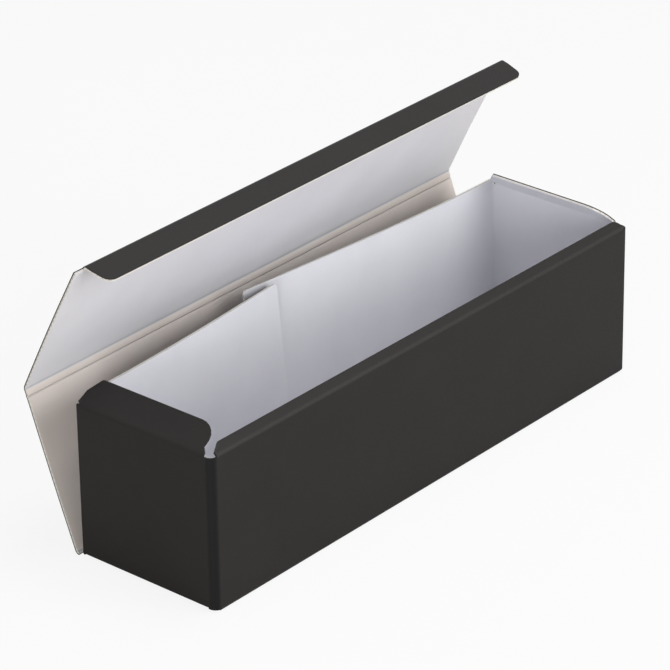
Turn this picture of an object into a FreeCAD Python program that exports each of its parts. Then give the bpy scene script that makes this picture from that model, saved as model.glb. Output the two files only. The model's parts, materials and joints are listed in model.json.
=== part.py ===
"""Bottle shipping box: one sheet of thin corrugated board folded into a long open tray.

A belt of board makes the front wall, the two end walls and two flaps that overlap along the back.
The floor folds from the front wall, the outer back panel from the floor, the lid from the outer
back panel and the tuck flap from the lid. Two end flaps and a narrow front lip fold from the wall
tops. The sheet is divided only at the creases that move, each piece round-nosed at its own crease.

Millimetres. Origin at the centre of the tray's bottom face, X along the length with the left end
at -X, the front wall towards -Y, Z up. The box lies open, as it stands with its lid half raised.
"""

import FreeCAD, Part
import os
import sys
import Sketcher

SIZES = (
    ("length", 340, "outside length of the tray"),
    ("depth", 94, "outside depth from the front wall to the inner back flaps"),
    ("crease_height", 88, "height of the creases along the wall tops"),
    ("board", 1.5, "thickness of the board"),
    ("layer_gap", 0.2, "gap between layers that lie on each other"),
    ("closed_gap", 0.4, "gap between the closed lid or back and the layer under it"),
    ("crease_gap", 0.1, "gap between a round nose and the edge it turns against"),
    ("nose_margin", 0.02, "half the flat left on a round nose"),
    ("corner_radius", 4.5, "outside radius of the upright folds"),
    ("floor_radius", 2, "outside radius of the fold between front wall and floor"),
    ("floor_inset", 0.8, "the floor panel's ends sit back from the end walls"),
    ("fold_riser", 12, "height of the length of front wall drawn with the floor"),
    ("dust_reach", 30, "length of the bottom flaps that tie the end walls to the floor"),
    ("dust_width", 84.6, "width of the bottom flaps"),
    ("left_tip", 12, "the left inner back flap ends this far left of the middle"),
    ("right_tip", 30, "the right inner back flap ends this far left of the middle"),
    ("back_rise", 2, "the inner back flaps stand this far above the creases"),
    ("tip_radius", 6, "rounding of the upper corners of the inner back flaps"),
    ("back_lean", 20.5, "the outer back panel leans this far outward"),
    ("lid_lean", 27.2, "the lid leans this far inward from upright"),
    ("lid_depth", 87.35, "lid panel from crease to crease"),
    ("score_drop", 3, "the second score lies this far below the lid crease"),
    ("score_depth", 0.4, "depth of the second score"),
    ("tuck_depth", 17, "depth of the tuck flap from its crease"),
    ("tuck_inset", 3.5, "the tuck flap's ends sit back from the lid's ends"),
    ("tuck_slant", 4, "each end of the tuck flap slants in by this"),
    ("tuck_shoulder", 3, "straight part of the tuck flap's ends beside the crease"),
    ("tuck_radius", 8, "rounding of the tuck flap's free corners"),
    ("tuck_fold", 78, "the tuck flap is folded this far from the lid's plane"),
    ("end_depth", 17.8, "depth of the end flaps from their creases"),
    ("end_front", 8.85, "the end flaps start this far behind the front face"),
    ("end_front_radius", 11, "rounding of the end flaps' front corners"),
    ("left_back", 0.3, "the left end flap stops this far before the back face"),
    ("left_cut_depth", 12.4, "slant at the left end flap's back corner, along its depth"),
    ("left_cut_length", 6.3, "slant at the left end flap's back corner, along its crease"),
    ("right_back", 1.8, "the right end flap stops this far before the back face"),
    ("right_cut_depth", 12, "slant at the right end flap's back corner, along its depth"),
    ("right_cut_length", 8.8, "slant at the right end flap's back corner, along its crease"),
    ("relief", 1.2, "the left inner back flap is cut down to this far past the closed end flap"),
    ("left_tilt", 27, "the left end flap stands this far above level"),
    ("right_tilt", 41.5, "the right end flap stands this far above level"),
    ("lip_depth", 6, "depth of the front lip from its crease"),
    ("lip_inset", 4.5, "the lip's ends sit back from the end walls"),
    ("lip_mitre_length", 6.5, "slant at the lip's left end, along its crease"),
    ("lip_mitre_depth", 5, "slant at the lip's left end, across it"),
    ("lip_radius", 4, "rounding of the lip's right free corner"),
    ("lip_tilt", 28, "the lip stands this far above level"),
)

# Lengths worked out from the sheet, as text for the expressions that use them.
HALF_LENGTH = "(Sizes.length / 2)"
HALF_BOARD = "(Sizes.board / 2)"
FRONT_FACE = "(-Sizes.depth / 2)"
BACK_FACE = "(Sizes.depth / 2)"
EDGE_SETBACK = "(Sizes.board / 2 + Sizes.crease_gap)"
BELT_FOOT = "(Sizes.board + Sizes.layer_gap)"
WALL_TOP = f"(Sizes.crease_height - {EDGE_SETBACK})"
FLAP_TOP = "(Sizes.crease_height + Sizes.back_rise)"
LEFT_FLAP_FACE = f"({BACK_FACE} - Sizes.board - Sizes.layer_gap)"
BACK_CREASE = f"({BACK_FACE} + Sizes.closed_gap + {HALF_BOARD})"
BACK_DEPTH = f"({FLAP_TOP} + Sizes.closed_gap)"
LID_CREASE_Y = f"({BACK_CREASE} + {BACK_DEPTH} * sin(Sizes.back_lean))"
LID_CREASE_Z = f"({HALF_BOARD} + {BACK_DEPTH} * cos(Sizes.back_lean))"
TUCK_CREASE_Y = f"({LID_CREASE_Y} - Sizes.lid_depth * sin(Sizes.lid_lean))"
TUCK_CREASE_Z = f"({LID_CREASE_Z} + Sizes.lid_depth * cos(Sizes.lid_lean))"
TUCK_HALF = f"({HALF_LENGTH} - Sizes.tuck_inset)"
LIP_HALF = f"({HALF_LENGTH} - Sizes.lip_inset)"
NOSE_RADIUS = f"({HALF_BOARD} - Sizes.nose_margin)"

X_AXIS = FreeCAD.Vector(1, 0, 0)
END_AXIS = FreeCAD.Vector(0, -1, 0)
TOLERANCE = 0.01

document = FreeCAD.newDocument("bottle_shipping_box")
sheet = document.addObject("Spreadsheet::Sheet", "Sizes")
for row, (alias, size, note) in enumerate(SIZES, start=1):
    sheet.set(f"A{row}", str(size))
    sheet.setAlias(f"A{row}", alias)
    sheet.set(f"B{row}", note)
document.recompute()


def value_of(expression):
    """The number a sheet expression stands for."""
    return float(sheet.evalExpression(expression))


def new_body(name):
    """An empty body that carries the name of its node."""
    body = document.addObject("PartDesign::Body", name)
    body.Label = name
    return body


def new_sketch(body, name, plane, offset="0"):
    """A sketch attached to one of the body's base planes, moved along its normal."""
    sketch = body.newObject("Sketcher::SketchObject", name)
    base = next(feature for feature in body.Origin.OriginFeatures if feature.Role == plane)
    sketch.AttachmentSupport = [(base, "")]
    sketch.MapMode = "FlatFace"
    sketch.setExpression("AttachmentOffset.Base.z", offset)
    return sketch


def pinned_loop(sketch, corners):
    """Draw a closed loop of straight lines and hold each corner at its sheet expressions."""
    places = [FreeCAD.Vector(value_of(x), value_of(y), 0) for x, y in corners]
    first = sketch.GeometryCount
    count = len(places)
    for number in range(count):
        sketch.addGeometry(Part.LineSegment(places[number], places[(number + 1) % count]))
    for number in range(count):
        following = first + (number + 1) % count
        sketch.addConstraint(Sketcher.Constraint("Coincident", first + number, 2, following, 1))
    for number, (x, y) in enumerate(corners):
        for kind, expression, held in (
            ("DistanceX", x, places[number].x),
            ("DistanceY", y, places[number].y),
        ):
            index = sketch.addConstraint(Sketcher.Constraint(kind, -1, 1, first + number, 1, held))
            sketch.setExpression(f"Constraints[{index}]", expression)


def pad(body, name, sketch, length, symmetric=False):
    """Give the sketch a thickness, to one side or half to each."""
    feature = body.newObject("PartDesign::Pad", name)
    feature.Profile = sketch
    feature.setExpression("Length", length)
    feature.SideType = "Symmetric" if symmetric else "One side"
    document.recompute()
    return feature


def edges_along(feature, direction, places):
    """Names of the straight edges along an axis whose other two coordinates are in places."""
    names = []
    others = [axis for axis in range(3) if axis != direction]
    for number, edge in enumerate(feature.Shape.Edges, start=1):
        if len(edge.Vertexes) != 2 or not isinstance(edge.Curve, Part.Line):
            continue
        start = edge.Vertexes[0].Point
        end = edge.Vertexes[1].Point
        if any(abs(start[axis] - end[axis]) > TOLERANCE for axis in others):
            continue
        for place in places:
            if all(abs(start[axis] - at) < TOLERANCE for axis, at in zip(others, place)):
                names.append(f"Edge{number}")
    return names


def fillet(body, name, feature, direction, corners, radius):
    """Round the edges along one axis that pass through the given corners."""
    places = [tuple(value_of(part) for part in corner) for corner in corners]
    rounding = body.newObject("PartDesign::Fillet", name)
    rounding.Base = (feature, edges_along(feature, direction, places))
    rounding.setExpression("Radius", radius)
    document.recompute()
    return rounding


def place(body, base, axis, angle):
    """Set the body at its crease, turned about an axis, with every number from the sheet."""
    body.Placement = FreeCAD.Placement(FreeCAD.Vector(), FreeCAD.Rotation(axis, value_of(angle)))
    for letter, expression in zip("xyz", base):
        body.setExpression(f"Placement.Base.{letter}", expression)
    body.setExpression("Placement.Rotation.Angle", angle)


# Tray: floor and lower front wall as one folded strip, with a soft fold between them.
tray = new_body("tray")
fold_sketch = new_sketch(tray, "fold_profile", "YZ_Plane")
pinned_loop(fold_sketch, (
    (FRONT_FACE, "0"),
    ("0", "0"),
    ("0", "Sizes.board"),
    (f"{FRONT_FACE} + Sizes.board", "Sizes.board"),
    (f"{FRONT_FACE} + Sizes.board", "Sizes.fold_riser"),
    (FRONT_FACE, "Sizes.fold_riser"),
))
fold_pad = pad(tray, "fold_strip", fold_sketch, "Sizes.length - 2 * Sizes.corner_radius", True)
outer_fold = fillet(tray, "outer_fold", fold_pad, 0, ((FRONT_FACE, "0"),), "Sizes.floor_radius")
inner_fold = fillet(
    tray, "inner_fold", outer_fold, 0, ((f"{FRONT_FACE} + Sizes.board", "Sizes.board"),),
    "Sizes.floor_radius - Sizes.board",
)

floor_sketch = new_sketch(tray, "floor_outline", "XY_Plane")
floor_half = f"({HALF_LENGTH} - Sizes.floor_inset)"
pinned_loop(floor_sketch, (
    (f"-{floor_half}", f"{FRONT_FACE} + Sizes.corner_radius"),
    (floor_half, f"{FRONT_FACE} + Sizes.corner_radius"),
    (floor_half, f"{BACK_CREASE} - {EDGE_SETBACK}"),
    (f"-{floor_half}", f"{BACK_CREASE} - {EDGE_SETBACK}"),
))
pad(tray, "floor_panel", floor_sketch, "Sizes.board")

# The belt: front wall, end walls and the two inner back flaps, the left flap being the inner one.
belt_sketch = new_sketch(tray, "belt_plan", "XY_Plane", BELT_FOOT)
inner_half = f"({HALF_LENGTH} - Sizes.board)"
pinned_loop(belt_sketch, (
    ("-Sizes.left_tip", LEFT_FLAP_FACE),
    (f"-{HALF_LENGTH}", LEFT_FLAP_FACE),
    (f"-{HALF_LENGTH}", FRONT_FACE),
    (HALF_LENGTH, FRONT_FACE),
    (HALF_LENGTH, BACK_FACE),
    ("-Sizes.right_tip", BACK_FACE),
    ("-Sizes.right_tip", f"{BACK_FACE} - Sizes.board"),
    (inner_half, f"{BACK_FACE} - Sizes.board"),
    (inner_half, f"{FRONT_FACE} + Sizes.board"),
    (f"-{inner_half}", f"{FRONT_FACE} + Sizes.board"),
    (f"-{inner_half}", f"{LEFT_FLAP_FACE} - Sizes.board"),
    ("-Sizes.left_tip", f"{LEFT_FLAP_FACE} - Sizes.board"),
))
belt_pad = pad(tray, "belt", belt_sketch, f"{WALL_TOP} - {BELT_FOOT}")
belt_corners = fillet(tray, "outer_corners", belt_pad, 2, (
    (f"-{HALF_LENGTH}", LEFT_FLAP_FACE),
    (f"-{HALF_LENGTH}", FRONT_FACE),
    (HALF_LENGTH, FRONT_FACE),
    (HALF_LENGTH, BACK_FACE),
), "Sizes.corner_radius")
inner_corners = fillet(tray, "inner_corners", belt_corners, 2, (
    (inner_half, f"{BACK_FACE} - Sizes.board"),
    (inner_half, f"{FRONT_FACE} + Sizes.board"),
    (f"-{inner_half}", f"{FRONT_FACE} + Sizes.board"),
    (f"-{inner_half}", f"{LEFT_FLAP_FACE} - Sizes.board"),
), "Sizes.corner_radius - Sizes.board")

# The inner back flaps stand a little above the walls, and their free upper corners are round. The
# left one, which lies in front, stays low beside its end flap, so that the end flap can close.
rise_sketch = new_sketch(tray, "back_flap_tops", "XY_Plane", WALL_TOP)
straight_half = f"({HALF_LENGTH} - Sizes.corner_radius)"
relief_half = f"({HALF_LENGTH} - {HALF_BOARD} - Sizes.end_depth - Sizes.relief)"
pinned_loop(rise_sketch, (
    (f"-{relief_half}", f"{LEFT_FLAP_FACE} - Sizes.board"),
    ("-Sizes.left_tip", f"{LEFT_FLAP_FACE} - Sizes.board"),
    ("-Sizes.left_tip", LEFT_FLAP_FACE),
    (f"-{relief_half}", LEFT_FLAP_FACE),
))
pinned_loop(rise_sketch, (
    ("-Sizes.right_tip", f"{BACK_FACE} - Sizes.board"),
    (straight_half, f"{BACK_FACE} - Sizes.board"),
    (straight_half, BACK_FACE),
    ("-Sizes.right_tip", BACK_FACE),
))
rise_pad = pad(tray, "back_flap_rise", rise_sketch, f"{FLAP_TOP} - {WALL_TOP}")
tip_corners = fillet(tray, "tip_corners", rise_pad, 1, (
    ("-Sizes.left_tip", FLAP_TOP),
    ("-Sizes.right_tip", FLAP_TOP),
), "Sizes.tip_radius")

# Bottom flaps folded in from the end walls, lying on the floor panel.
dust_sketch = new_sketch(tray, "bottom_flap_plan", "XY_Plane", BELT_FOOT)
dust_end = f"({HALF_LENGTH} - Sizes.dust_reach)"
for outer_x, inner_x in ((f"-{HALF_LENGTH}", f"-{dust_end}"), (dust_end, HALF_LENGTH)):
    pinned_loop(dust_sketch, (
        (outer_x, "-Sizes.dust_width / 2"),
        (inner_x, "-Sizes.dust_width / 2"),
        (inner_x, "Sizes.dust_width / 2"),
        (outer_x, "Sizes.dust_width / 2"),
    ))
pad(tray, "bottom_flaps", dust_sketch, "Sizes.board")

# Outer back panel, with the second score a little below the lid crease on its inner face.
back_panel = new_body("outer_back_panel")
back_sketch = new_sketch(back_panel, "back_outline", "XZ_Plane")
back_top = f"({BACK_DEPTH} - {EDGE_SETBACK})"
pinned_loop(back_sketch, (
    (f"-{HALF_LENGTH}", f"-{HALF_BOARD}"),
    (HALF_LENGTH, f"-{HALF_BOARD}"),
    (HALF_LENGTH, back_top),
    (f"-{HALF_LENGTH}", back_top),
))
back_pad = pad(back_panel, "back_board", back_sketch, "Sizes.board", True)
fillet(back_panel, "back_nose", back_pad, 0, (
    (f"-{HALF_BOARD}", f"-{HALF_BOARD}"),
    (HALF_BOARD, f"-{HALF_BOARD}"),
), NOSE_RADIUS)
score_sketch = new_sketch(back_panel, "score_profile", "YZ_Plane")
score_height = f"({BACK_DEPTH} - Sizes.score_drop)"
pinned_loop(score_sketch, (
    (f"-{HALF_BOARD}", f"{score_height} - Sizes.score_depth"),
    (f"-{HALF_BOARD} + Sizes.score_depth", score_height),
    (f"-{HALF_BOARD}", f"{score_height} + Sizes.score_depth"),
))
score = back_panel.newObject("PartDesign::Pocket", "second_score")
score.Profile = score_sketch
score.Type = "ThroughAll"
score.SideType = "Symmetric"
place(back_panel, ("0", BACK_CREASE, HALF_BOARD), X_AXIS, "-Sizes.back_lean")

# Lid panel.
lid = new_body("lid_panel")
lid_sketch = new_sketch(lid, "lid_outline", "XZ_Plane")
lid_end = f"(Sizes.lid_depth - {EDGE_SETBACK})"
pinned_loop(lid_sketch, (
    (f"-{HALF_LENGTH}", f"-{HALF_BOARD}"),
    (HALF_LENGTH, f"-{HALF_BOARD}"),
    (HALF_LENGTH, lid_end),
    (f"-{HALF_LENGTH}", lid_end),
))
lid_pad = pad(lid, "lid_board", lid_sketch, "Sizes.board", True)
fillet(lid, "lid_nose", lid_pad, 0, (
    (f"-{HALF_BOARD}", f"-{HALF_BOARD}"),
    (HALF_BOARD, f"-{HALF_BOARD}"),
), NOSE_RADIUS)
place(lid, ("0", LID_CREASE_Y, LID_CREASE_Z), X_AXIS, "Sizes.lid_lean")

# Tuck flap: ends straight beside the crease, then slanting in to rounded corners.
tuck = new_body("tuck_flap")
tuck_sketch = new_sketch(tuck, "tuck_outline", "XZ_Plane")
tuck_tip = f"({TUCK_HALF} - Sizes.tuck_slant)"
pinned_loop(tuck_sketch, (
    (f"-{TUCK_HALF}", f"-{HALF_BOARD}"),
    (TUCK_HALF, f"-{HALF_BOARD}"),
    (TUCK_HALF, "Sizes.tuck_shoulder"),
    (tuck_tip, "Sizes.tuck_depth"),
    (f"-{tuck_tip}", "Sizes.tuck_depth"),
    (f"-{TUCK_HALF}", "Sizes.tuck_shoulder"),
))
tuck_pad = pad(tuck, "tuck_board", tuck_sketch, "Sizes.board", True)
tuck_corners = fillet(tuck, "tuck_corners", tuck_pad, 1, (
    (tuck_tip, "Sizes.tuck_depth"),
    (f"-{tuck_tip}", "Sizes.tuck_depth"),
), "Sizes.tuck_radius")
fillet(tuck, "tuck_nose", tuck_corners, 0, (
    (f"-{HALF_BOARD}", f"-{HALF_BOARD}"),
    (HALF_BOARD, f"-{HALF_BOARD}"),
), NOSE_RADIUS)
place(tuck, ("0", TUCK_CREASE_Y, TUCK_CREASE_Z), X_AXIS, "Sizes.lid_lean + Sizes.tuck_fold")

# End flaps: a round corner at the front and a slanted one at the back, clear of the falling lid.
end_start = f"({FRONT_FACE} + Sizes.end_front)"
for side, crease_x, turn in (
    ("left", f"-{HALF_LENGTH} + {HALF_BOARD}", "Sizes.left_tilt"),
    ("right", f"{HALF_LENGTH} - {HALF_BOARD}", "180 - Sizes.right_tilt"),
):
    end_stop = f"({BACK_FACE} - Sizes.{side}_back)"
    end_flap = new_body(f"{side}_end_flap")
    end_sketch = new_sketch(end_flap, f"{side}_end_outline", "XY_Plane")
    pinned_loop(end_sketch, (
        (f"-{HALF_BOARD}", end_start),
        ("Sizes.end_depth", end_start),
        ("Sizes.end_depth", f"{end_stop} - Sizes.{side}_cut_length"),
        (f"Sizes.end_depth - Sizes.{side}_cut_depth", end_stop),
        (f"-{HALF_BOARD}", end_stop),
    ))
    end_pad = pad(end_flap, f"{side}_end_board", end_sketch, "Sizes.board", True)
    end_corner = fillet(end_flap, f"{side}_end_corner", end_pad, 2, (
        ("Sizes.end_depth", end_start),
    ), "Sizes.end_front_radius")
    fillet(end_flap, f"{side}_end_nose", end_corner, 1, (
        (f"-{HALF_BOARD}", f"-{HALF_BOARD}"),
        (f"-{HALF_BOARD}", HALF_BOARD),
    ), NOSE_RADIUS)
    place(end_flap, (crease_x, "0", "Sizes.crease_height"), END_AXIS, turn)

# Front lip: slanted at its left end, rounded at its right.
lip = new_body("front_lip")
lip_sketch = new_sketch(lip, "lip_outline", "XY_Plane")
pinned_loop(lip_sketch, (
    (f"-{LIP_HALF}", f"-{HALF_BOARD}"),
    (LIP_HALF, f"-{HALF_BOARD}"),
    (LIP_HALF, "Sizes.lip_depth"),
    (f"-{LIP_HALF} + Sizes.lip_mitre_length", "Sizes.lip_depth"),
    (f"-{LIP_HALF}", "Sizes.lip_depth - Sizes.lip_mitre_depth"),
))
lip_pad = pad(lip, "lip_board", lip_sketch, "Sizes.board", True)
lip_corner = fillet(lip, "lip_corner", lip_pad, 2, (
    (LIP_HALF, "Sizes.lip_depth"),
), "Sizes.lip_radius")
fillet(lip, "lip_nose", lip_corner, 0, (
    (f"-{HALF_BOARD}", f"-{HALF_BOARD}"),
    (f"-{HALF_BOARD}", HALF_BOARD),
), NOSE_RADIUS)
place(lip, ("0", f"{FRONT_FACE} + {HALF_BOARD}", "Sizes.crease_height"), X_AXIS, "Sizes.lip_tilt")

document.recompute()
for part in document.Objects:
    if "Invalid" in part.State or "Error" in part.State:
        sys.exit(f"{part.Name} did not compute: {part.State}")
os.makedirs("parts", exist_ok=True)
for body in document.Objects:
    if body.TypeId != "PartDesign::Body":
        continue
    if body.Shape.isNull() or not body.Shape.isValid() or len(body.Shape.Solids) != 1:
        sys.exit(f"{body.Label} is not one valid solid")
    body.Shape.exportStep(f"parts/{body.Label}.step")
    print(body.Label, "volume", round(body.Shape.Volume), "box", body.Shape.BoundBox)
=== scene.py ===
"""Looks of the bottle shipping box: one die-cut sheet of black-coated corrugated board, folded and open."""

import json
import math

import bmesh
import bpy
from mathutils import Matrix, Vector


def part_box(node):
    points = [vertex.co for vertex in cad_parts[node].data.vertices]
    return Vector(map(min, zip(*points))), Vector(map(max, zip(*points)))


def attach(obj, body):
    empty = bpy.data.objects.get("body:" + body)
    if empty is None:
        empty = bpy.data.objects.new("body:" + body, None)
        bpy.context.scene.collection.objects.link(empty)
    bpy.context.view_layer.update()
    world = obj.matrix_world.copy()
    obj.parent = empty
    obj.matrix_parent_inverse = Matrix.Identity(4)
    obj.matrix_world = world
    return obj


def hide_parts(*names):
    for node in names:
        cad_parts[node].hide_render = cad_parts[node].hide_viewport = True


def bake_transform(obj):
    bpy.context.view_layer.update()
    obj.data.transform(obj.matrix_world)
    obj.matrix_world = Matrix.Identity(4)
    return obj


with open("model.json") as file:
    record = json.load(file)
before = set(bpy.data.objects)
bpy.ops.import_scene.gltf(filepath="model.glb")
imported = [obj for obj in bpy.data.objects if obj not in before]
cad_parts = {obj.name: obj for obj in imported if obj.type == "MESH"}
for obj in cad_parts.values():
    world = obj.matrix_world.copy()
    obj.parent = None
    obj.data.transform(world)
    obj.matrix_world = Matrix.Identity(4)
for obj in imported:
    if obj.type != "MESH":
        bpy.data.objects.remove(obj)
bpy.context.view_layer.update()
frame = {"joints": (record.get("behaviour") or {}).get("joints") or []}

# The sheet. E-flute board, 1.5 mm thick, with a black printed and varnished liner outside, a
# bleached white liner inside and a wave of flutes between them. It is cut flat, scored and
# folded, so every area below is cut from a flat outline and then set on its folded path.
BOARD = 0.0015
LAYER_GAP = 0.0002
CLOSED_GAP = 0.0004
FOLD_REACH = 0.0013
FLUTE_PITCH = 0.0032
FOLD_STEPS = 8
LONG_STEPS = 24
joints = {joint["name"]: joint for joint in frame["joints"]}
tray_low, tray_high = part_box("tray")
HALF_LENGTH = tray_high.x
FRONT_MID = tray_low.y + BOARD / 2
CREASE_HEIGHT = joints["lip_fold"]["pos_m"][2]
REAR_CREASE = joints["outer_back_fold"]["pos_m"][1]
FLOOR_MID = joints["outer_back_fold"]["pos_m"][2]


def linear(code):
    """An sRGB hex colour as the linear colour that shaders take."""
    parts = [int(code[place:place + 2], 16) / 255 for place in (1, 3, 5)]
    return [c / 12.92 if c <= 0.04045 else ((c + 0.055) / 1.055) ** 2.4 for c in parts] + [1.0]


def add_node(material, kind, inputs=None, **settings):
    """Add a node with its settings; each input is a number, a colour or another node's output."""
    node = material.node_tree.nodes.new(kind)
    for name, setting in settings.items():
        setattr(node, name, setting)
    for name, value in (inputs or {}).items():
        if isinstance(value, bpy.types.NodeSocket):
            material.node_tree.links.new(value, node.inputs[name])
        else:
            node.inputs[name].default_value = value
    return node


def new_material(name):
    """An empty node material with its output node."""
    material = bpy.data.materials.new(name)
    material.use_nodes = True
    material.node_tree.nodes.clear()
    return material, material.node_tree.nodes.new("ShaderNodeOutputMaterial")


def flute_relief(material, distance):
    """The flutes that show faintly through a liner, as a normal for the finer relief to build on. The
    lines come about 2 mm apart, which is finer than the flutes themselves."""
    board = add_node(material, "ShaderNodeUVMap", uv_map="board").outputs["UV"]
    flutes = add_node(material, "ShaderNodeTexWave", {
        "Vector": board, "Scale": 1 / FLUTE_PITCH / 2,
        "Distortion": 0.6, "Detail": 1.0, "Detail Scale": 0.4,
    }, bands_direction="Y")
    relief = add_node(material, "ShaderNodeBump", {
        "Height": flutes.outputs["Fac"], "Strength": 0.25, "Distance": distance,
    })
    return relief.outputs["Normal"]


def black_varnish():
    """Black offset print under a matt water-based varnish: near-black with a soft sheen, clouds about
    36 mm across and a grain of about 1.1 mm, paler where a crease rubs it, and deeper black on the
    upright folds as painted shade."""
    material, output = new_material("black_varnished_liner")
    place = add_node(material, "ShaderNodeTexCoord").outputs["Object"]
    cloud = add_node(material, "ShaderNodeTexNoise", {"Vector": place, "Scale": 28.0, "Detail": 5.0})
    tone = add_node(material, "ShaderNodeMix", {
        "Factor": cloud.outputs["Fac"], "A": linear("#1d1b1a"), "B": linear("#242221"),
    }, data_type="RGBA")
    grain = add_node(material, "ShaderNodeTexNoise", {"Vector": place, "Scale": 900.0, "Detail": 3.0})
    rub_and_shade = add_node(material, "ShaderNodeAttribute", attribute_name="rub_and_shade").outputs["Fac"]
    wear_and_shade = add_node(material, "ShaderNodeMath", {0: rub_and_shade, 1: grain.outputs["Fac"]}, operation="MULTIPLY")
    colour = add_node(material, "ShaderNodeMix", {
        "Factor": wear_and_shade.outputs[0], "A": tone.outputs["Result"], "B": linear("#3d3a38"),
    }, data_type="RGBA")
    # Painted shade: a negative attribute darkens the black towards #080808 on the upright folds.
    painted_fold_shade = add_node(material, "ShaderNodeMath", {0: rub_and_shade, 1: -1.0}, operation="MULTIPLY", use_clamp=True)
    deeper = add_node(material, "ShaderNodeMix", {
        "Factor": painted_fold_shade.outputs[0], "A": colour.outputs["Result"], "B": linear("#080808"),
    }, data_type="RGBA")
    tooth = add_node(material, "ShaderNodeBump", {
        "Height": grain.outputs["Fac"], "Normal": flute_relief(material, 0.00004),
        "Strength": 0.3, "Distance": 0.00003,
    })
    shine = add_node(material, "ShaderNodeMapRange", {
        "Value": grain.outputs["Fac"], "To Min": 0.5, "To Max": 0.64,
    })
    shader = add_node(material, "ShaderNodeBsdfPrincipled", {
        "Base Color": deeper.outputs["Result"], "Roughness": shine.outputs["Result"],
        "Normal": tooth.outputs["Normal"], "Specular IOR Level": 0.22,
    })
    material.node_tree.links.new(shader.outputs["BSDF"], output.inputs["Surface"])
    return material


def white_liner(name, low, high):
    """Bleached kraft liner, uncoated and very matt: two whites in clouds about 25 mm across, and fibres
    about 2 mm long and 0.6 mm wide, coarser than real ones so that they show. Greyed along a score and a
    crease as painted shade."""
    material, output = new_material(name)
    place = add_node(material, "ShaderNodeTexCoord").outputs["Object"]
    cloud = add_node(material, "ShaderNodeTexNoise", {"Vector": place, "Scale": 40.0, "Detail": 6.0})
    tone = add_node(material, "ShaderNodeMix", {
        "Factor": cloud.outputs["Fac"], "A": linear(low), "B": linear(high),
    }, data_type="RGBA")
    stretch = add_node(material, "ShaderNodeMapping", {"Vector": place, "Scale": (500.0, 1800.0, 1800.0)})
    fibres = add_node(material, "ShaderNodeTexNoise", {
        "Vector": stretch.outputs["Vector"], "Scale": 1.0, "Detail": 4.0,
    })
    rub_and_shade = add_node(material, "ShaderNodeAttribute", attribute_name="rub_and_shade").outputs["Fac"]
    # Painted shade: the white liner is greyed towards #8f8b8c along creases and scores.
    painted_crease_shade = add_node(material, "ShaderNodeMath", {0: rub_and_shade, 1: 0.5}, operation="MULTIPLY")
    colour = add_node(material, "ShaderNodeMix", {
        "Factor": painted_crease_shade.outputs[0], "A": tone.outputs["Result"], "B": linear("#8f8b8c"),
    }, data_type="RGBA")
    tooth = add_node(material, "ShaderNodeBump", {
        "Height": fibres.outputs["Fac"], "Normal": flute_relief(material, 0.00005),
        "Strength": 0.35, "Distance": 0.00004,
    })
    shader = add_node(material, "ShaderNodeBsdfPrincipled", {
        "Base Color": colour.outputs["Result"], "Roughness": 0.82,
        "Normal": tooth.outputs["Normal"], "IOR": 1.4,
    })
    material.node_tree.links.new(shader.outputs["BSDF"], output.inputs["Surface"])
    return material


def cut_edge(name, print_start):
    """The die-cut edge: white liner, a wave of pale fluting paper with painted shade in its hollows, and
    the black liner that the knife drags over the edge from print_start on. V runs through the thickness."""
    material, output = new_material(name)
    board = add_node(material, "ShaderNodeUVMap", uv_map="board").outputs["UV"]
    parts = add_node(material, "ShaderNodeSeparateXYZ", {"Vector": board})
    turn = add_node(material, "ShaderNodeMath", {
        0: parts.outputs["X"], 1: 2 * math.pi / FLUTE_PITCH,
    }, operation="MULTIPLY")
    wave = add_node(material, "ShaderNodeMath", {0: turn.outputs[0]}, operation="SINE")
    centre = add_node(material, "ShaderNodeMath", {
        0: wave.outputs[0], 1: 0.27, 2: 0.5,
    }, operation="MULTIPLY_ADD")
    off = add_node(material, "ShaderNodeMath", {
        0: parts.outputs["Y"], 1: centre.outputs[0],
    }, operation="SUBTRACT")
    away = add_node(material, "ShaderNodeMath", {0: off.outputs[0]}, operation="ABSOLUTE")
    # Painted shade: the hollows between the flute waves are darkened towards #8b8680.
    hollow_shade = add_node(material, "ShaderNodeMapRange", {
        "Value": away.outputs[0], "From Min": 0.12, "From Max": 0.2, "To Min": 0.0, "To Max": 0.45,
    })
    middle = add_node(material, "ShaderNodeMath", {0: parts.outputs["Y"], 1: 0.5}, operation="SUBTRACT")
    reach = add_node(material, "ShaderNodeMath", {0: middle.outputs[0]}, operation="ABSOLUTE")
    inside = add_node(material, "ShaderNodeMath", {0: reach.outputs[0], 1: 0.34}, operation="LESS_THAN")
    painted_hollow_shade = add_node(material, "ShaderNodeMath", {
        0: hollow_shade.outputs["Result"], 1: inside.outputs[0],
    }, operation="MULTIPLY")
    paper = add_node(material, "ShaderNodeMix", {
        "Factor": painted_hollow_shade.outputs[0], "A": linear("#f2efe9"), "B": linear("#8b8680"),
    }, data_type="RGBA")
    printed = add_node(material, "ShaderNodeMath", {
        0: parts.outputs["Y"], 1: print_start,
    }, operation="GREATER_THAN")
    colour = add_node(material, "ShaderNodeMix", {
        "Factor": printed.outputs[0], "A": paper.outputs["Result"], "B": linear("#1f1d1c"),
    }, data_type="RGBA")
    shader = add_node(material, "ShaderNodeBsdfPrincipled", {
        "Base Color": colour.outputs["Result"], "Roughness": 0.85, "IOR": 1.4,
    })
    material.node_tree.links.new(shader.outputs["BSDF"], output.inputs["Surface"])
    return material


OPEN_EDGE = (
    black_varnish(),
    white_liner("white_bleached_liner", "#e4e4ea", "#eeeef3"),
    cut_edge("die_cut_edge", 0.6),
)
# Painted shade: a darker copy of the cut edge, black over most of its thickness, used on the walls, floor,
# lip, left end flap and bottom flaps.
SHADED_EDGE = OPEN_EDGE[:2] + (cut_edge("shade_darkened_cut_edge", 0.15),)
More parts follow.
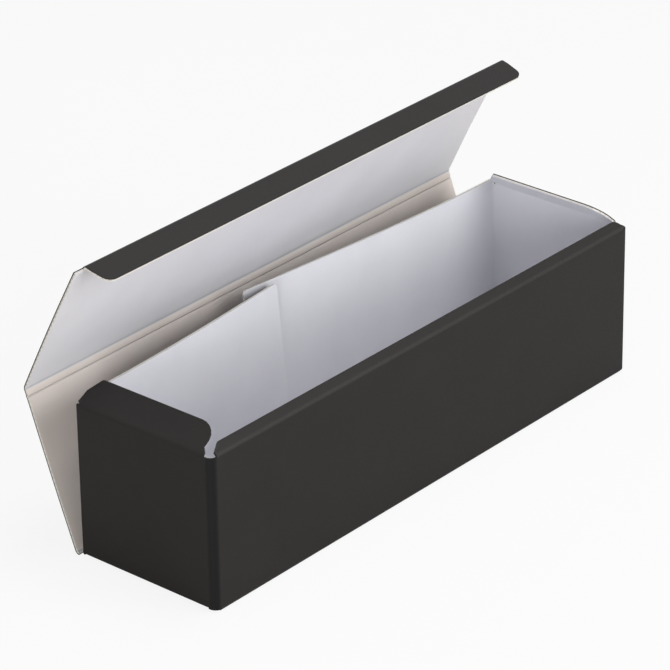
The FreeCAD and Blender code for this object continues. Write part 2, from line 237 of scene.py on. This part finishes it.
# Painted highlight: a paler copy of the cut edge, white over almost all its thickness, used on the inner
# back flaps.
LIT_EDGE = OPEN_EDGE[:2] + (cut_edge("highlight_paled_cut_edge", 0.92),)
# Painted shade: a warm-tinted copy of the white liner for the outer back panel, standing in for the warm
# shade on it.
WARM_SHADE_LINER = (OPEN_EDGE[0], white_liner("warm_shade_tinted_liner", "#e8dcd4", "#f1e9e4"), OPEN_EDGE[2])


def folded_path(corners, radii):
    """A path of straight runs joined by left-hand arcs. Gives a rule from distance along it to a point
    and its direction, the distances at which each arc starts and ends, and the path's whole length."""
    runs = []
    folds = []
    here = corners[0]
    length = 0.0
    for number, radius in enumerate(radii, start=1):
        into = (corners[number] - corners[number - 1]).normalized()
        out = (corners[number + 1] - corners[number]).normalized()
        turn = math.atan2(into.x * out.y - into.y * out.x, into.dot(out))
        reach = radius * math.tan(turn / 2)
        start = corners[number] - into * reach
        runs.append((length, here, into, 0.0))
        length += (start - here).length
        runs.append((length, start, into, radius))
        folds.append((length, length + radius * turn))
        length += radius * turn
        here = corners[number] + out * reach
    last = (corners[-1] - here).normalized()
    runs.append((length, here, last, 0.0))

    def at(distance):
        reached = (run for run in reversed(runs) if run[0] <= distance or run is runs[0])
        begin, base, heading, radius = next(reached)
        if radius == 0:
            return base + heading * (distance - begin), heading
        angle = (distance - begin) / radius
        turned = Matrix.Rotation(angle, 2) @ heading
        centre = base + Vector((-heading.y, heading.x)) * radius
        return centre - Vector((-turned.y, turned.x)) * radius, turned

    return at, folds, length + (corners[-1] - here).length


def fold_radius(turn):
    """Mid-thickness radius of a fold whose score reaches the same distance to each side."""
    return FOLD_REACH / math.tan(turn / 2)


def rounded(corners, radii, steps=6):
    """A closed outline with some of its corners rounded: one radius for each corner, 0 for a sharp one."""
    outline = []
    for number, (corner, radius) in enumerate(zip(corners, radii)):
        corner = Vector(corner)
        if radius == 0:
            outline.append(corner)
            continue
        back = (Vector(corners[number - 1]) - corner).normalized()
        ahead = (Vector(corners[(number + 1) % len(corners)]) - corner).normalized()
        half = back.angle(ahead) / 2
        centre = corner + (back + ahead).normalized() * radius / math.sin(half)
        first = corner + back * radius / math.tan(half) - centre
        last = corner + ahead * radius / math.tan(half) - centre
        sweep = math.atan2(first.x * last.y - first.y * last.x, first.dot(last))
        outline += [centre + Matrix.Rotation(sweep * step / steps, 2) @ first for step in range(steps + 1)]
    return outline


def cuts_between(start, end, count):
    """Evenly spaced cuts from start to end, both included."""
    return [start + (end - start) * step / count for step in range(count + 1)]


def folded_board(name, outline, cuts_u, cuts_v, place, rub_and_shade=None, finishes=OPEN_EDGE):
    """Cut a flat outline into a grid, then set its two faces and its cut edge in place by a rule that
    takes (u, v) and the distance from mid-thickness. U runs along the creases and V across the flutes."""
    flat = bmesh.new()
    flat.faces.new([flat.verts.new((u, v, 0)) for u, v in outline])
    for axis, cuts in ((0, cuts_u), (1, cuts_v)):
        for cut in cuts:
            point = Vector((0, 0, 0))
            normal = Vector((0, 0, 0))
            point[axis] = cut
            normal[axis] = 1
            whole = flat.verts[:] + flat.edges[:] + flat.faces[:]
            bmesh.ops.bisect_plane(flat, geom=whole, dist=1e-7, plane_co=point, plane_no=normal)
    flat.verts.index_update()
    solid = bmesh.new()
    uv = solid.loops.layers.uv.new("board")
    wear_and_shade = solid.verts.layers.float.new("rub_and_shade")
    faces = []
    for side in (1, -1):
        layer = []
        for vertex in flat.verts:
            made = solid.verts.new(place(vertex.co.x, vertex.co.y, side * BOARD / 2))
            # This attribute carries real wear on the black side and painted shade on the white side and on
            # the upright folds.
            made[wear_and_shade] = rub_and_shade(vertex.co.x, vertex.co.y) if rub_and_shade else 0.0
            layer.append(made)
        faces.append(layer)
    for face in flat.faces:
        corners = [(vertex.index, (vertex.co.x, vertex.co.y)) for vertex in face.verts]
        for layer, order in ((0, corners), (1, corners[::-1])):
            made = solid.faces.new([faces[layer][index] for index, _ in order])
            made.material_index = layer
            made.smooth = True
            for loop, (_, spot) in zip(made.loops, order):
                loop[uv].uv = spot
    for edge in flat.edges:
        if not edge.is_boundary:
            continue
        start = edge.link_loops[0].vert
        end = edge.link_loops[0].link_loop_next.vert
        ring = ((0, end), (0, start), (1, start), (1, end))
        made = solid.faces.new([faces[layer][vertex.index] for layer, vertex in ring])
        made.material_index = 2
        for loop, (layer, vertex) in zip(made.loops, ring):
            loop[uv].uv = (vertex.co.y, 1 - layer)
    bmesh.ops.recalc_face_normals(solid, faces=solid.faces[:])
    for edge in solid.edges:
        kinds = {face.material_index for face in edge.link_faces}
        edge.smooth = len(kinds) == 1 and kinds != {2}
    mesh = bpy.data.meshes.new(name)
    solid.to_mesh(mesh)
    flat.free()
    solid.free()
    for finish in finishes:
        mesh.materials.append(finish)
    piece = bpy.data.objects.new(name, mesh)
    bpy.context.scene.collection.objects.link(piece)
    return piece


# Wrap path, seen from the right end: front lip, front wall, floor, outer back panel, lid and tuck
# flap follow each other on one strip of the sheet. Creases and angles come from the CAD joints.
back_lean = math.radians(joints["outer_back_fold"]["range_deg"][1])
lid_turn = -math.radians(joints["lid_fold"]["range_deg"][0])
tuck_turn = -math.radians(joints["tuck_fold"]["range_deg"][0])
lip_tilt = math.radians(joints["lip_fold"]["range_deg"][1])
LIP_DEPTH = 0.006
TUCK_DEPTH = 0.016
FLOOR_FOLD_RADIUS = 0.00125
LID_CREASE = Vector(joints["lid_fold"]["pos_m"][1:])
TUCK_CREASE = Vector(joints["tuck_fold"]["pos_m"][1:])
tuck_heading = math.pi / 2 - back_lean + lid_turn + tuck_turn
lip_crease = Vector((FRONT_MID, CREASE_HEIGHT))
wrap_at, wrap_folds, wrap_length = folded_path(
    (
        lip_crease + LIP_DEPTH * Vector((math.cos(lip_tilt), math.sin(lip_tilt))),
        lip_crease,
        Vector((FRONT_MID, FLOOR_MID)),
        Vector((REAR_CREASE, FLOOR_MID)),
        LID_CREASE,
        TUCK_CREASE,
        TUCK_CREASE + TUCK_DEPTH * Vector((math.cos(tuck_heading), math.sin(tuck_heading))),
    ),
    (
        fold_radius(math.pi / 2 - lip_tilt),
        FLOOR_FOLD_RADIUS,
        fold_radius(math.pi / 2 - back_lean),
        fold_radius(lid_turn),
        fold_radius(tuck_turn),
    ),
)
LIP_FOLD, FRONT_FOLD, REAR_FOLD, LID_FOLD, TUCK_FOLD = wrap_folds


def on_wrap(u, v, out, lift=0.0):
    """A point of the wrap: u along the box, v along the path, out from mid-thickness to the outside."""
    point, heading = wrap_at(v)
    point = point + Vector((heading.y, -heading.x)) * (out + lift)
    return Vector((u, point.x, point.y))


RIDGE_WEAR_AND_SHADE = 0.9
LONG_WAVE = 23
SHORT_WAVE = 47


def fold_wear_and_shade(fold):
    """Wear across a fold, strongest on its ridge: real wear on the black side, painted shade on the white
    side.
    """
    return lambda u, v: max(0.0, math.sin(math.pi * (v - fold[0]) / (fold[1] - fold[0]))) * RIDGE_WEAR_AND_SHADE


def bowed(start, end, height):
    """The slight bow of a panel between two creases, with a long and a short wave along the box."""
    def lift(u, v):
        across = math.sin(math.pi * min(1, max(0, (v - start) / (end - start))))
        waves = 1 + 0.35 * math.sin(u * LONG_WAVE + 1) + 0.25 * math.sin(u * SHORT_WAVE)
        return height * across * waves
    return lift


# Belt of the tray: the right and left end walls and the front wall, one strip with round upright
# folds. Its lower rim folds under and its upper rim carries the lip and the end flaps.
FRONT_RADIUS = 0.00375
REAR_RADIUS = 0.0020
BACK_LAYER_STEP = BOARD + LAYER_GAP
LEFT_TIP = 0.007
RIGHT_TIP = 0.0245
BACK_OUTER_MID = REAR_CREASE - CLOSED_GAP - BOARD
BACK_INNER_MID = BACK_OUTER_MID - BACK_LAYER_STEP
END_MID = HALF_LENGTH - BOARD / 2
belt_at, belt_folds, belt_length = folded_path(
    (
        Vector((-LEFT_TIP, BACK_INNER_MID)),
        Vector((-END_MID, BACK_INNER_MID)),
        Vector((-END_MID, FRONT_MID)),
        Vector((END_MID, FRONT_MID)),
        Vector((END_MID, BACK_OUTER_MID)),
        Vector((-RIGHT_TIP, BACK_OUTER_MID)),
    ),
    (REAR_RADIUS, FRONT_RADIUS, FRONT_RADIUS, REAR_RADIUS),
)
LEFT_REAR, LEFT_FRONT, RIGHT_FRONT, RIGHT_REAR = belt_folds
WALL_RIM = CREASE_HEIGHT - FOLD_REACH
LOWER_RIM = 0.0020
END_RIM = 0.00305
FRONT_FOOT = 0.0012
END_FOOT = 0.0017
FOOT_HALF = 0.1654
BOTTOM_FLAP_FRONT = -0.0423
CORNER_TOP = CREASE_HEIGHT - 0.00085
CORNER_STEP = 0.0011
LIP_INSET = 0.0045
LIP_LEFT = -HALF_LENGTH + LIP_INSET
LIP_RIGHT = HALF_LENGTH - LIP_INSET
END_FLAP_FRONT = FRONT_MID + 0.0081
LEFT_CREASE_FRONT = END_FLAP_FRONT - 0.0032
FLAP_TOP = tray_high.z + 0.0002
FOLD_SHADE_SLOPE = 5
LEFT_FLAP_BACK = BACK_INNER_MID - REAR_RADIUS
RIGHT_FLAP_BACK = BACK_OUTER_MID - REAR_RADIUS


def on_belt(s, z, out):
    """A point of the belt: s along the plan path, z up, out from mid-thickness to the outside."""
    point, heading = belt_at(s)
    point = point + Vector((heading.y, -heading.x)) * out
    return Vector((point.x, point.y, z))


def left_s(y):
    """Distance along the belt of a place on the left end wall."""
    return LEFT_REAR[1] + LEFT_FLAP_BACK - y


def right_s(y):
    """Distance along the belt of a place on the right end wall."""
    return RIGHT_FRONT[1] + y - (FRONT_MID + FRONT_RADIUS)


def front_s(x):
    """Distance along the belt of a place on the front wall."""
    return LEFT_FRONT[1] + x + END_MID - FRONT_RADIUS


def upright_fold_shade(s, z):
    """Painted shade on the four upright folds, below zero so that the black darkens there."""
    shares = [min(s - start, end - s) / (end - start) for start, end in belt_folds]
    return -min(1.0, FOLD_SHADE_SLOPE * max(0.0, *shares))


belt_outline = (
    (LEFT_REAR[0], END_FOOT), (LEFT_REAR[1], END_FOOT),
    (LEFT_REAR[1], END_RIM), (left_s(BOTTOM_FLAP_FRONT), END_RIM), (left_s(BOTTOM_FLAP_FRONT), END_FOOT),
    (front_s(-FOOT_HALF), FRONT_FOOT), (front_s(-FOOT_HALF), LOWER_RIM),
    (front_s(FOOT_HALF), LOWER_RIM), (front_s(FOOT_HALF), FRONT_FOOT),
    (right_s(BOTTOM_FLAP_FRONT), END_FOOT), (right_s(BOTTOM_FLAP_FRONT), END_RIM),
    (RIGHT_REAR[0], END_RIM), (RIGHT_REAR[0], END_FOOT), (RIGHT_REAR[1], END_FOOT),
    (RIGHT_REAR[1], FLAP_TOP), (RIGHT_REAR[0] + CORNER_STEP, CORNER_TOP), (RIGHT_REAR[0], CORNER_TOP),
    (right_s(RIGHT_FLAP_BACK), WALL_RIM), (right_s(END_FLAP_FRONT), WALL_RIM),
    (right_s(END_FLAP_FRONT), CORNER_TOP),
    (front_s(LIP_RIGHT), CORNER_TOP), (front_s(LIP_RIGHT), WALL_RIM),
    (front_s(LIP_LEFT), WALL_RIM), (front_s(LIP_LEFT), CORNER_TOP),
    (left_s(LEFT_CREASE_FRONT), CORNER_TOP), (left_s(LEFT_CREASE_FRONT), WALL_RIM),
    (LEFT_REAR[1], WALL_RIM), (LEFT_REAR[1], CORNER_TOP), (LEFT_REAR[0], CORNER_TOP),
)
belt_cuts = []
for fold in belt_folds:
    belt_cuts += cuts_between(*fold, FOLD_STEPS)
belt = folded_board(
    "belt_walls", belt_outline, belt_cuts, (END_RIM, WALL_RIM), on_belt, upright_fold_shade, SHADED_EDGE,
)
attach(belt, "tray")
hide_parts("tray")

# Floor panel, folded from the front wall's lower rim with a soft round fold.
FLOOR_HALF = HALF_LENGTH - 0.003
FLOOR_WIDENS = FRONT_FOLD[1] + 0.003
floor_outline = (
    (-FOOT_HALF, FRONT_FOLD[0]), (FOOT_HALF, FRONT_FOLD[0]), (FOOT_HALF, FLOOR_WIDENS),
    (FLOOR_HALF, FLOOR_WIDENS), (FLOOR_HALF, REAR_FOLD[0]),
    (-FLOOR_HALF, REAR_FOLD[0]), (-FLOOR_HALF, FLOOR_WIDENS), (-FOOT_HALF, FLOOR_WIDENS),
)
floor_panel = folded_board(
    "floor_panel", floor_outline, (), cuts_between(*FRONT_FOLD, FOLD_STEPS), on_wrap, fold_wear_and_shade(FRONT_FOLD),
    SHADED_EDGE,
)
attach(floor_panel, "tray")
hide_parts("tray")

# Inner back flaps, folded from the end walls round the rear corners and overlapping behind the
# bay. The board springs back, so with the outer panel down their tops stand outward in a curve.
FLAP_FOOT = 0.0020
SPRING = {"left": 0.450, "right": 0.390}


def spring_share(x, side):
    """How far a place on an inner back flap follows the outer back panel: none at its fold, and growing
    to one over the spring length, which is longer than the flap."""
    start = -END_MID + REAR_RADIUS if side == "left" else END_MID - REAR_RADIUS
    share = min(1, max(0, abs(x - start) / SPRING[side]))
    return share * share * (3 - 2 * share)


def sprung(side):
    """The rule that sets an inner back flap on the belt and lets it stand outward."""
    hinge = Vector((0, REAR_CREASE, FLOOR_MID))

    def place(s, z, out):
        flat = on_belt(s, z, out)
        turn = Matrix.Rotation(-back_lean * spring_share(flat.x, side), 3, "X")
        return turn @ (flat - hinge) + hinge

    return place


TIP_RADIUS = 0.0025
SHOULDER = 0.003
LOW_END = 0.1503
LOW_RUN = END_MID - REAR_RADIUS - LOW_END
left_flap_outline = rounded(
    ((0.0, FLAP_FOOT), (LEFT_REAR[0], FLAP_FOOT), (LEFT_REAR[0], CORNER_TOP),
     (LEFT_REAR[0] - LOW_RUN, CORNER_TOP), (LEFT_REAR[0] - LOW_RUN - SHOULDER, FLAP_TOP), (0.0, FLAP_TOP)),
    (0, 0, 0, 0, 0, TIP_RADIUS),
)
left_back_flap = folded_board(
    "left_inner_back_flap", left_flap_outline, cuts_between(0.0, LEFT_REAR[0], 24),
    cuts_between(FLAP_FOOT, FLAP_TOP, 6), sprung("left"), finishes=LIT_EDGE,
)
right_flap_outline = rounded(
    ((RIGHT_REAR[1], FLAP_FOOT), (belt_length, FLAP_FOOT), (belt_length, FLAP_TOP),
     (RIGHT_REAR[1], FLAP_TOP)),
    (0, 0, TIP_RADIUS, 0),
)
right_back_flap = folded_board(
    "right_inner_back_flap", right_flap_outline, cuts_between(RIGHT_REAR[1], belt_length, 28),
    cuts_between(FLAP_FOOT, FLAP_TOP, 6), sprung("right"), finishes=LIT_EDGE,
)
for back_flap, side, way in ((left_back_flap, "left", 1), (right_back_flap, "right", -1)):
    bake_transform(back_flap)
    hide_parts("tray")

# Rear floor crease, outer back panel and the crease to the lid. The panel's liner is tinted a warmer white
# as painted warm shade.
# Its second score runs just below the lid crease, pressed in from inside, and gives the lid its room.
SCORE_DROP = 0.0036
SCORE_HALF = 0.0007
SCORE_DEPTH = 0.0006
SCORE_THROUGH = 0.4
BACK_BOW = 0.0005
LID_BOW = 0.0007
long_cuts = cuts_between(-HALF_LENGTH, HALF_LENGTH, LONG_STEPS)


def strip_outline(left, right, start, end):
    """A plain rectangle of the sheet between two places along the path."""
    return ((left, start), (right, start), (right, end), (left, end))


rear_crease = folded_board(
    "rear_floor_crease", strip_outline(-HALF_LENGTH, HALF_LENGTH, *REAR_FOLD), (),
    cuts_between(*REAR_FOLD, FOLD_STEPS), on_wrap, fold_wear_and_shade(REAR_FOLD),
)
on_wrap(0, REAR_FOLD[0], 0)
on_wrap(0, REAR_FOLD[1], 0)
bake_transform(rear_crease)

score_at = LID_FOLD[0] - SCORE_DROP
back_bow = bowed(REAR_FOLD[1], score_at - SCORE_HALF, BACK_BOW)


def on_outer_back(u, v, out):
    """The outer back panel, slightly bowed, with the second score pressed in from inside."""
    press = max(0.0, 1 - abs(v - score_at) / SCORE_HALF)
    dent = SCORE_DEPTH * press * press * (3 - 2 * press)
    lift = back_bow(u, v) + (dent if out < 0 else dent * SCORE_THROUGH)
    return on_wrap(u, v, out, lift)


score_cuts = cuts_between(score_at - SCORE_HALF, score_at + SCORE_HALF, 8)
# The score's mark: wear on its black side and a painted shade line on its white side.
outer_back = folded_board(
    "outer_back_board", strip_outline(-HALF_LENGTH, HALF_LENGTH, REAR_FOLD[1], LID_FOLD[0]), long_cuts,
    cuts_between(REAR_FOLD[1], score_at - SCORE_HALF, 10) + score_cuts, on_outer_back,
    lambda u, v: max(0.0, 1 - abs(v - score_at) / SCORE_HALF), WARM_SHADE_LINER,
)
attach(outer_back, "outer_back")
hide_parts("outer_back_panel")

lid_crease_strip = folded_board(
    "lid_crease", strip_outline(-HALF_LENGTH, HALF_LENGTH, *LID_FOLD), (),
    cuts_between(*LID_FOLD, FOLD_STEPS), on_wrap, fold_wear_and_shade(LID_FOLD),
)
on_wrap(0, LID_FOLD[0], 0)
on_wrap(0, LID_FOLD[1], 0)
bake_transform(lid_crease_strip)

# Lid panel, plain and slightly bowed, with its white liner towards the bay.
lid_bow = bowed(LID_FOLD[1], TUCK_FOLD[0], LID_BOW)
lid = folded_board(
    "lid_board", strip_outline(-HALF_LENGTH, HALF_LENGTH, LID_FOLD[1], TUCK_FOLD[0]), long_cuts,
    cuts_between(LID_FOLD[1], TUCK_FOLD[0], 12), lambda u, v, out: on_wrap(u, v, out, lid_bow(u, v)),
)
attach(lid, "lid")
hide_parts("lid_panel")

# Tuck flap along the lid's far edge. Its ends leave the crease straight, slant in and run into round
# corners, so that it finds its way behind the front lip. The left end stands further in.
TUCK_LEFT = -HALF_LENGTH + 0.0065
TUCK_RIGHT = HALF_LENGTH - 0.0022
TUCK_SLANT = 0.0015
TUCK_SHOULDER = 0.003
TUCK_RADIUS = 0.0055
TUCK_EASE = 0.003
tuck_crease_strip = folded_board(
    "tuck_crease", strip_outline(TUCK_LEFT, TUCK_RIGHT, *TUCK_FOLD), (),
    cuts_between(*TUCK_FOLD, FOLD_STEPS), on_wrap, fold_wear_and_shade(TUCK_FOLD),
)
on_wrap(0, TUCK_FOLD[0], 0)
on_wrap(0, TUCK_FOLD[1], 0)
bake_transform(tuck_crease_strip)
tuck_outline = rounded(
    ((TUCK_LEFT, TUCK_FOLD[1]), (TUCK_RIGHT, TUCK_FOLD[1]), (TUCK_RIGHT, TUCK_FOLD[1] + TUCK_SHOULDER),
     (TUCK_RIGHT - TUCK_SLANT, wrap_length), (TUCK_LEFT + TUCK_SLANT, wrap_length),
     (TUCK_LEFT, TUCK_FOLD[1] + TUCK_SHOULDER)),
    (0, 0, TUCK_EASE, TUCK_RADIUS, TUCK_RADIUS, TUCK_EASE),
)
tuck = folded_board(
    "tuck_board", tuck_outline, long_cuts, cuts_between(TUCK_FOLD[1], wrap_length, 5), on_wrap,
)
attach(tuck, "tuck")
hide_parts("tuck_flap")

# Front lip, the narrow turned-in rim of the front wall: slanted at its left end, round at its right.
LIP_SLANT = 0.0065
LIP_LEFT_END = 0.0042
LIP_LEFT_RADIUS = 0.001
LIP_RIGHT_RADIUS = 0.004
LIP_MIDDLE = 0.002
lip_crease_strip = folded_board(
    "lip_crease", strip_outline(LIP_LEFT, LIP_RIGHT, *LIP_FOLD), (),
    cuts_between(*LIP_FOLD, FOLD_STEPS), on_wrap, fold_wear_and_shade(LIP_FOLD), SHADED_EDGE,
)
on_wrap(0, LIP_FOLD[0], 0)
on_wrap(0, LIP_FOLD[1], 0)
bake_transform(lip_crease_strip)
lip_outline = rounded(
    ((LIP_LEFT + LIP_SLANT, 0.0), (LIP_RIGHT, 0.0), (LIP_RIGHT, LIP_FOLD[0]), (LIP_LEFT, LIP_FOLD[0]),
     (LIP_LEFT, LIP_LEFT_END)),
    (LIP_LEFT_RADIUS, LIP_RIGHT_RADIUS, 0, 0, 0),
)
lip = folded_board("lip_board", lip_outline, long_cuts, (LIP_MIDDLE,), on_wrap, finishes=SHADED_EDGE)
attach(lip, "lip")
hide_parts("front_lip")

# End flaps on top of the end walls, with a round front corner and a slanted back one, and the
# bottom flaps that fold in under the bay and hold the end walls to the floor.
END_FLAP_DEPTH = 0.0178
END_CUTS = {"left": (0.0088, 0.0041), "right": (0.0120, 0.0088)}
FRONT_SLANT_DEPTH = 0.0035
END_OVERHANG = {"left": 0.0012, "right": 0.0007}
END_FRONT_RADIUS = 0.011
END_BACK_RADIUS = 0.002
FOOT_FOLD_RADIUS = 0.0006
BOTTOM_FLAP_END = HALF_LENGTH - 0.030
BOTTOM_FLAP_MID = BOARD + LAYER_GAP + BOARD / 2
for side, way, crease_front, crease_back in (
    ("left", -1, LEFT_CREASE_FRONT, LEFT_FLAP_BACK),
    ("right", 1, END_FLAP_FRONT, RIGHT_FLAP_BACK),
):
    flap_back = crease_back + END_OVERHANG[side]
    cut_depth, cut_length = END_CUTS[side]
    # The left end flap's edges get the painted-shade copy; the right one keeps the plain cut edge.
    edges = SHADED_EDGE if side == "left" else OPEN_EDGE
    tilt = math.radians(joints[f"{side}_flap_fold"]["range_deg"][1])
    end_crease = Vector((-END_MID, CREASE_HEIGHT))
    end_at, (end_fold, foot_fold), end_length = folded_path(
        (
            end_crease + END_FLAP_DEPTH * Vector((math.cos(tilt), math.sin(tilt))),
            end_crease,
            Vector((-END_MID, BOTTOM_FLAP_MID)),
            Vector((-BOTTOM_FLAP_END, BOTTOM_FLAP_MID)),
        ),
        (fold_radius(math.pi / 2 - tilt), FOOT_FOLD_RADIUS),
    )

    def on_end(y, v, out, at=end_at, mirror=way):
        """A point of the end's strip: y across it, v down its path, out to the outside."""
        point, heading = at(v)
        point = point + Vector((heading.y, -heading.x)) * out
        return Vector((-mirror * point.x, y, point.y))

    crease_strip = folded_board(
        f"{side}_flap_crease", strip_outline(crease_front, crease_back, *end_fold), (),
        cuts_between(*end_fold, FOLD_STEPS), on_end, finishes=edges,
    )
    on_end(0, end_fold[0], 0)
    on_end(0, end_fold[1], 0)
    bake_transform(crease_strip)
    flap_outline = rounded(
        ((END_FLAP_FRONT, 0.0), (flap_back - cut_length, 0.0), (flap_back, cut_depth),
         (flap_back, end_fold[0]), (crease_front, end_fold[0]),
         (END_FLAP_FRONT, end_fold[0] - FRONT_SLANT_DEPTH)),
        (END_FRONT_RADIUS, END_BACK_RADIUS, END_BACK_RADIUS, 0, 0, 0),
    )
    end_flap = folded_board(
        f"{side}_end_board", flap_outline, cuts_between(END_FLAP_FRONT, flap_back, 6), (0.006, 0.012),
        on_end, finishes=edges,
    )
    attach(end_flap, f"{side}_flap")
    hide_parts(f"{side}_end_flap")
    foot = folded_board(
        f"{side}_bottom_flap", strip_outline(BOTTOM_FLAP_FRONT, crease_back, foot_fold[0], end_length),
        (), cuts_between(*foot_fold, FOLD_STEPS), on_end, fold_wear_and_shade(foot_fold), SHADED_EDGE,
    )
    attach(foot, "tray")
    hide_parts("tray")


# Floor, light and camera. The floor is a plain white sheet that shows white to the camera and keeps
# the box's shadow. Two large soft boxes, a small one low on the left and a white surround light it.
FLOOR_REACH = 4.0
FLOOR_DROP = 0.0002
CAMERA_GLOW = 0.88
SURROUND_LIGHT = 0.24


def stage_floor():
    """A white floor that reads as white paper and still takes the shadow."""
    material, output = new_material("white_floor")
    path = add_node(material, "ShaderNodeLightPath")
    share = add_node(material, "ShaderNodeMath", {
        0: path.outputs["Is Camera Ray"], 1: CAMERA_GLOW,
    }, operation="MULTIPLY")
    paper = add_node(material, "ShaderNodeMix", {
        "Factor": path.outputs["Is Diffuse Ray"], "A": linear("#f2f2f2"), "B": linear("#d8d2c8"),
    }, data_type="RGBA")
    paint = add_node(material, "ShaderNodeBsdfDiffuse", {"Color": paper.outputs["Result"]})
    glow = add_node(material, "ShaderNodeEmission", {"Color": (1, 1, 1, 1), "Strength": 1.0})
    mix = add_node(material, "ShaderNodeMixShader", {
        "Fac": share.outputs[0], 1: paint.outputs["BSDF"], 2: glow.outputs["Emission"],
    })
    material.node_tree.links.new(mix.outputs["Shader"], output.inputs["Surface"])
    mesh = bpy.data.meshes.new("floor")
    signs = ((-1, -1), (1, -1), (1, 1), (-1, 1))
    mesh.from_pydata([(FLOOR_REACH * x, FLOOR_REACH * y, 0) for x, y in signs], [], [(0, 1, 2, 3)])
    mesh.materials.append(material)
    floor = bpy.data.objects.new("floor", mesh)
    floor.location.z = -FLOOR_DROP
    bpy.context.scene.collection.objects.link(floor)


stage_floor()

world = bpy.data.worlds.new("studio")
bpy.context.scene.world = world
world.use_nodes = True
world.node_tree.nodes.clear()
rays = add_node(world, "ShaderNodeLightPath")
direct = add_node(world, "ShaderNodeMath", {
    0: rays.outputs["Is Camera Ray"], 1: rays.outputs["Is Glossy Ray"],
}, operation="MAXIMUM")
seen = add_node(world, "ShaderNodeMath", {
    0: direct.outputs[0], 1: rays.outputs["Is Transmission Ray"],
}, operation="MAXIMUM")
strength = add_node(world, "ShaderNodeMapRange", {
    "Value": seen.outputs[0], "To Min": SURROUND_LIGHT, "To Max": 1.0,
})
backdrop = add_node(world, "ShaderNodeBackground", {
    "Color": (1, 1, 1, 1), "Strength": strength.outputs["Result"],
})
add_node(world, "ShaderNodeOutputWorld", {"Surface": backdrop.outputs["Background"]})


def softbox(name, place, size, power):
    """A square soft light aimed at the middle of the box."""
    lamp = bpy.data.lights.new(name, "AREA")
    lamp.size = size
    lamp.energy = power
    light = bpy.data.objects.new(name, lamp)
    light.location = place
    light.rotation_euler = (Vector((0, 0, 0.05)) - Vector(place)).to_track_quat("-Z", "Y").to_euler()
    bpy.context.scene.collection.objects.link(light)


softbox("key_softbox", (0.3, -1.6, 0.75), 1.2, 17)
softbox("top_softbox", (0.3, -0.2, 1.7), 0.9, 11)
softbox("left_fill", (-1.5, -0.7, 0.24), 0.4, 9)

AZIMUTH, ELEVATION, ROLL = (math.radians(angle) for angle in (-49.23992, 26.96712, -0.84071))
CAMERA_PLACE = Vector((-1.403421, -1.190895, 1.010315))
FOCAL_PIXELS = 3941.739
FRAME_PIXELS = 670
back = Vector((
    math.sin(AZIMUTH) * math.cos(ELEVATION), -math.cos(AZIMUTH) * math.cos(ELEVATION), math.sin(ELEVATION),
))
level = Vector((math.cos(AZIMUTH), math.sin(AZIMUTH), 0))
upward = back.cross(level)
right = level * math.cos(ROLL) + upward * math.sin(ROLL)
up = upward * math.cos(ROLL) - level * math.sin(ROLL)
lens = bpy.data.cameras.new("camera")
lens.sensor_width = 36
lens.lens = FOCAL_PIXELS / FRAME_PIXELS * lens.sensor_width
camera = bpy.data.objects.new("camera", lens)
camera.matrix_world = Matrix((
    (right.x, up.x, back.x, CAMERA_PLACE.x),
    (right.y, up.y, back.y, CAMERA_PLACE.y),
    (right.z, up.z, back.z, CAMERA_PLACE.z),
    (0, 0, 0, 1),
))
bpy.context.scene.collection.objects.link(camera)
bpy.context.scene.camera = camera
bpy.context.scene.view_settings.view_transform = "Standard"

bpy.context.view_layer.update()
